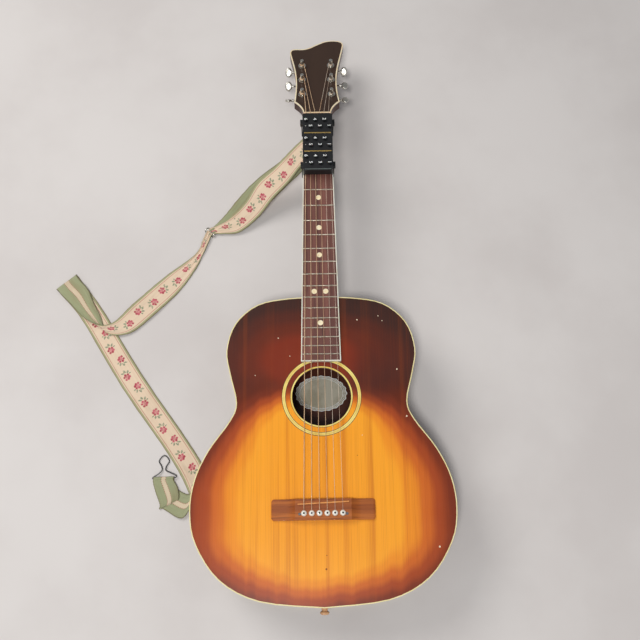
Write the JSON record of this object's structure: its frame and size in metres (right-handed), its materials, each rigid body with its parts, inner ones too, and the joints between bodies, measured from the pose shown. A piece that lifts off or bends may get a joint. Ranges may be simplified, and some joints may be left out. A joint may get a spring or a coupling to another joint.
{
  "type": "acoustic guitar",
  "caption": "Worn sunburst acoustic guitar lying on its back, with a push-button chord attachment on its neck and a floral woven strap laid beside it.",
  "frame": {"origin": "on the flat back, under the centre of the soundhole", "axes": "+Y along the strings to the head, +Z out of the top, -X the bass side"},
  "size_m": [0.6435, 0.969, 0.131],
  "materials": {
    "sunburst_top": "glossy sunburst spruce",
    "dark_wood": "glossy dark brown",
    "inner_wood": "bare",
    "cream_binding": "aged cream",
    "ring_inlay": "yellowed",
    "label_paper": "silver-grey paper",
    "rosewood": "oiled",
    "head_face": "glossy dark veneer",
    "saddle_brass": "dull",
    "pin_plastic": "white",
    "button_plastic": "peach",
    "fret_metal": "worn nickel silver",
    "bolt_metal": "dark",
    "knob_metal": "dull nickel",
    "black_case": "satin black",
    "black_button": "gloss black",
    "woven_strap": "woven floral ribbon"
  },
  "bodies": {
    "guitar": {"top_plate": "sunburst_top", "back_plate": "dark_wood", "sides": "dark_wood", "end_blocks": "inner_wood", "linings": "inner_wood", "braces": "inner_wood", "body_binding": "cream_binding", "soundhole_rings": "ring_inlay", "paper_label": "label_paper", "bridge": "rosewood", "saddle": "saddle_brass", "bridge_pins": "pin_plastic", "bridge_bolts": "bolt_metal", "end_button": "button_plastic", "neck": "dark_wood", "head_veneer": "head_face", "head_binding": "cream_binding", "fingerboard": "rosewood", "board_binding": "cream_binding", "frets": "fret_metal", "position_dots": "pin_plastic", "nut": "cream_binding", "strings": "fret_metal", "tuner_plates": "fret_metal", "tuner_bushings": "fret_metal", "chord_housing": "black_case", "chord_bands": "black_case", "strap_webbing": "woven_strap", "strap_buckle": "fret_metal", "wire_hook": "bolt_metal"},
    "chord_button_11": {"chord_button_11": "black_button"},
    "chord_button_12": {"chord_button_12": "black_button"},
    "chord_button_13": {"chord_button_13": "black_button"},
    "chord_button_14": {"chord_button_14": "black_button"},
    "chord_button_15": {"chord_button_15": "black_button"},
    "chord_button_16": {"chord_button_16": "black_button"},
    "chord_button_21": {"chord_button_21": "black_button"},
    "chord_button_22": {"chord_button_22": "black_button"},
    "chord_button_23": {"chord_button_23": "black_button"},
    "chord_button_24": {"chord_button_24": "black_button"},
    "chord_button_25": {"chord_button_25": "black_button"},
    "chord_button_26": {"chord_button_26": "black_button"},
    "chord_button_31": {"chord_button_31": "black_button"},
    "chord_button_32": {"chord_button_32": "black_button"},
    "chord_button_33": {"chord_button_33": "black_button"},
    "chord_button_34": {"chord_button_34": "black_button"},
    "chord_button_35": {"chord_button_35": "black_button"},
    "chord_button_36": {"chord_button_36": "black_button"},
    "tuner_knob_1": {"tuner_knob_1": "knob_metal"},
    "tuner_knob_2": {"tuner_knob_2": "knob_metal"},
    "tuner_knob_3": {"tuner_knob_3": "knob_metal"},
    "tuner_knob_4": {"tuner_knob_4": "knob_metal"},
    "tuner_knob_5": {"tuner_knob_5": "knob_metal"},
    "tuner_knob_6": {"tuner_knob_6": "knob_metal"},
    "tuner_post_1": {"tuner_post_1": "knob_metal"},
    "tuner_post_2": {"tuner_post_2": "knob_metal"},
    "tuner_post_3": {"tuner_post_3": "knob_metal"},
    "tuner_post_4": {"tuner_post_4": "knob_metal"},
    "tuner_post_5": {"tuner_post_5": "knob_metal"},
    "tuner_post_6": {"tuner_post_6": "knob_metal"}
  },
  "joints": [
    {"name": "chord_button_11_press", "type": "slide", "parent": "guitar", "child": "chord_button_11", "axis": [0, 0, -1], "range_m": [0, 0.003], "stiffness_N_per_m": 100, "springref_m": -0.002},
    {"name": "chord_button_12_press", "type": "slide", "parent": "guitar", "child": "chord_button_12", "axis": [0, 0, -1], "range_m": [0, 0.003], "stiffness_N_per_m": 100, "springref_m": -0.002},
    {"name": "chord_button_13_press", "type": "slide", "parent": "guitar", "child": "chord_button_13", "axis": [0, 0, -1], "range_m": [0, 0.003], "stiffness_N_per_m": 100, "springref_m": -0.002},
    {"name": "chord_button_14_press", "type": "slide", "parent": "guitar", "child": "chord_button_14", "axis": [0, 0, -1], "range_m": [0, 0.003], "stiffness_N_per_m": 100, "springref_m": -0.002},
    {"name": "chord_button_15_press", "type": "slide", "parent": "guitar", "child": "chord_button_15", "axis": [0, 0, -1], "range_m": [0, 0.003], "stiffness_N_per_m": 100, "springref_m": -0.002},
    {"name": "chord_button_16_press", "type": "slide", "parent": "guitar", "child": "chord_button_16", "axis": [0, 0, -1], "range_m": [0, 0.003], "stiffness_N_per_m": 100, "springref_m": -0.002},
    {"name": "chord_button_21_press", "type": "slide", "parent": "guitar", "child": "chord_button_21", "axis": [0, 0, -1], "range_m": [0, 0.003], "stiffness_N_per_m": 100, "springref_m": -0.002},
    {"name": "chord_button_22_press", "type": "slide", "parent": "guitar", "child": "chord_button_22", "axis": [0, 0, -1], "range_m": [0, 0.003], "stiffness_N_per_m": 100, "springref_m": -0.002},
    {"name": "chord_button_23_press", "type": "slide", "parent": "guitar", "child": "chord_button_23", "axis": [0, 0, -1], "range_m": [0, 0.003], "stiffness_N_per_m": 100, "springref_m": -0.002},
    {"name": "chord_button_24_press", "type": "slide", "parent": "guitar", "child": "chord_button_24", "axis": [0, 0, -1], "range_m": [0, 0.003], "stiffness_N_per_m": 100, "springref_m": -0.002},
    {"name": "chord_button_25_press", "type": "slide", "parent": "guitar", "child": "chord_button_25", "axis": [0, 0, -1], "range_m": [0, 0.003], "stiffness_N_per_m": 100, "springref_m": -0.002},
    {"name": "chord_button_26_press", "type": "slide", "parent": "guitar", "child": "chord_button_26", "axis": [0, 0, -1], "range_m": [0, 0.003], "stiffness_N_per_m": 100, "springref_m": -0.002},
    {"name": "chord_button_31_press", "type": "slide", "parent": "guitar", "child": "chord_button_31", "axis": [0, 0, -1], "range_m": [0, 0.003], "stiffness_N_per_m": 100, "springref_m": -0.002},
    {"name": "chord_button_32_press", "type": "slide", "parent": "guitar", "child": "chord_button_32", "axis": [0, 0, -1], "range_m": [0, 0.003], "stiffness_N_per_m": 100, "springref_m": -0.002},
    {"name": "chord_button_33_press", "type": "slide", "parent": "guitar", "child": "chord_button_33", "axis": [0, 0, -1], "range_m": [0, 0.003], "stiffness_N_per_m": 100, "springref_m": -0.002},
    {"name": "chord_button_34_press", "type": "slide", "parent": "guitar", "child": "chord_button_34", "axis": [0, 0, -1], "range_m": [0, 0.003], "stiffness_N_per_m": 100, "springref_m": -0.002},
    {"name": "chord_button_35_press", "type": "slide", "parent": "guitar", "child": "chord_button_35", "axis": [0, 0, -1], "range_m": [0, 0.003], "stiffness_N_per_m": 100, "springref_m": -0.002},
    {"name": "chord_button_36_press", "type": "slide", "parent": "guitar", "child": "chord_button_36", "axis": [0, 0, -1], "range_m": [0, 0.003], "stiffness_N_per_m": 100, "springref_m": -0.002},
    {"name": "knob_1_turn", "type": "hinge", "parent": "guitar", "child": "tuner_knob_1", "pos_m": [-0.04, 0.52924, 0.07209], "axis": [-1, 0, 0], "continuous": true},
    {"name": "knob_2_turn", "type": "hinge", "parent": "guitar", "child": "tuner_knob_2", "pos_m": [-0.04, 0.56201, 0.06512], "axis": [-1, 0, 0], "continuous": true},
    {"name": "knob_3_turn", "type": "hinge", "parent": "guitar", "child": "tuner_knob_3", "pos_m": [-0.04, 0.59478, 0.05816], "axis": [-1, 0, 0], "continuous": true},
    {"name": "knob_4_turn", "type": "hinge", "parent": "guitar", "child": "tuner_knob_4", "pos_m": [0.04, 0.59478, 0.05816], "axis": [1, 0, 0], "continuous": true},
    {"name": "knob_5_turn", "type": "hinge", "parent": "guitar", "child": "tuner_knob_5", "pos_m": [0.04, 0.56201, 0.06512], "axis": [1, 0, 0], "continuous": true},
    {"name": "knob_6_turn", "type": "hinge", "parent": "guitar", "child": "tuner_knob_6", "pos_m": [0.04, 0.52924, 0.07209], "axis": [1, 0, 0], "continuous": true},
    {"name": "post_1_turn", "type": "hinge", "parent": "guitar", "child": "tuner_post_1", "pos_m": [-0.025, 0.52288, 0.07344], "axis": [0, 0.2079, 0.9781], "continuous": true},
    {"name": "post_2_turn", "type": "hinge", "parent": "guitar", "child": "tuner_post_2", "pos_m": [-0.025, 0.55565, 0.06647], "axis": [0, 0.2079, 0.9781], "continuous": true},
    {"name": "post_3_turn", "type": "hinge", "parent": "guitar", "child": "tuner_post_3", "pos_m": [-0.025, 0.58842, 0.05951], "axis": [0, 0.2079, 0.9781], "continuous": true},
    {"name": "post_4_turn", "type": "hinge", "parent": "guitar", "child": "tuner_post_4", "pos_m": [0.025, 0.58842, 0.05951], "axis": [0, 0.2079, 0.9781], "continuous": true},
    {"name": "post_5_turn", "type": "hinge", "parent": "guitar", "child": "tuner_post_5", "pos_m": [0.025, 0.55565, 0.06647], "axis": [0, 0.2079, 0.9781], "continuous": true},
    {"name": "post_6_turn", "type": "hinge", "parent": "guitar", "child": "tuner_post_6", "pos_m": [0.025, 0.52288, 0.07344], "axis": [0, 0.2079, 0.9781], "continuous": true}
  ],
  "couplings": [
    {"joint": "post_1_turn", "follows": "knob_1_turn", "ratio": 0.071429},
    {"joint": "post_2_turn", "follows": "knob_2_turn", "ratio": 0.071429},
    {"joint": "post_3_turn", "follows": "knob_3_turn", "ratio": 0.071429},
    {"joint": "post_4_turn", "follows": "knob_4_turn", "ratio": -0.071429},
    {"joint": "post_5_turn", "follows": "knob_5_turn", "ratio": -0.071429},
    {"joint": "post_6_turn", "follows": "knob_6_turn", "ratio": -0.071429}
  ]
}
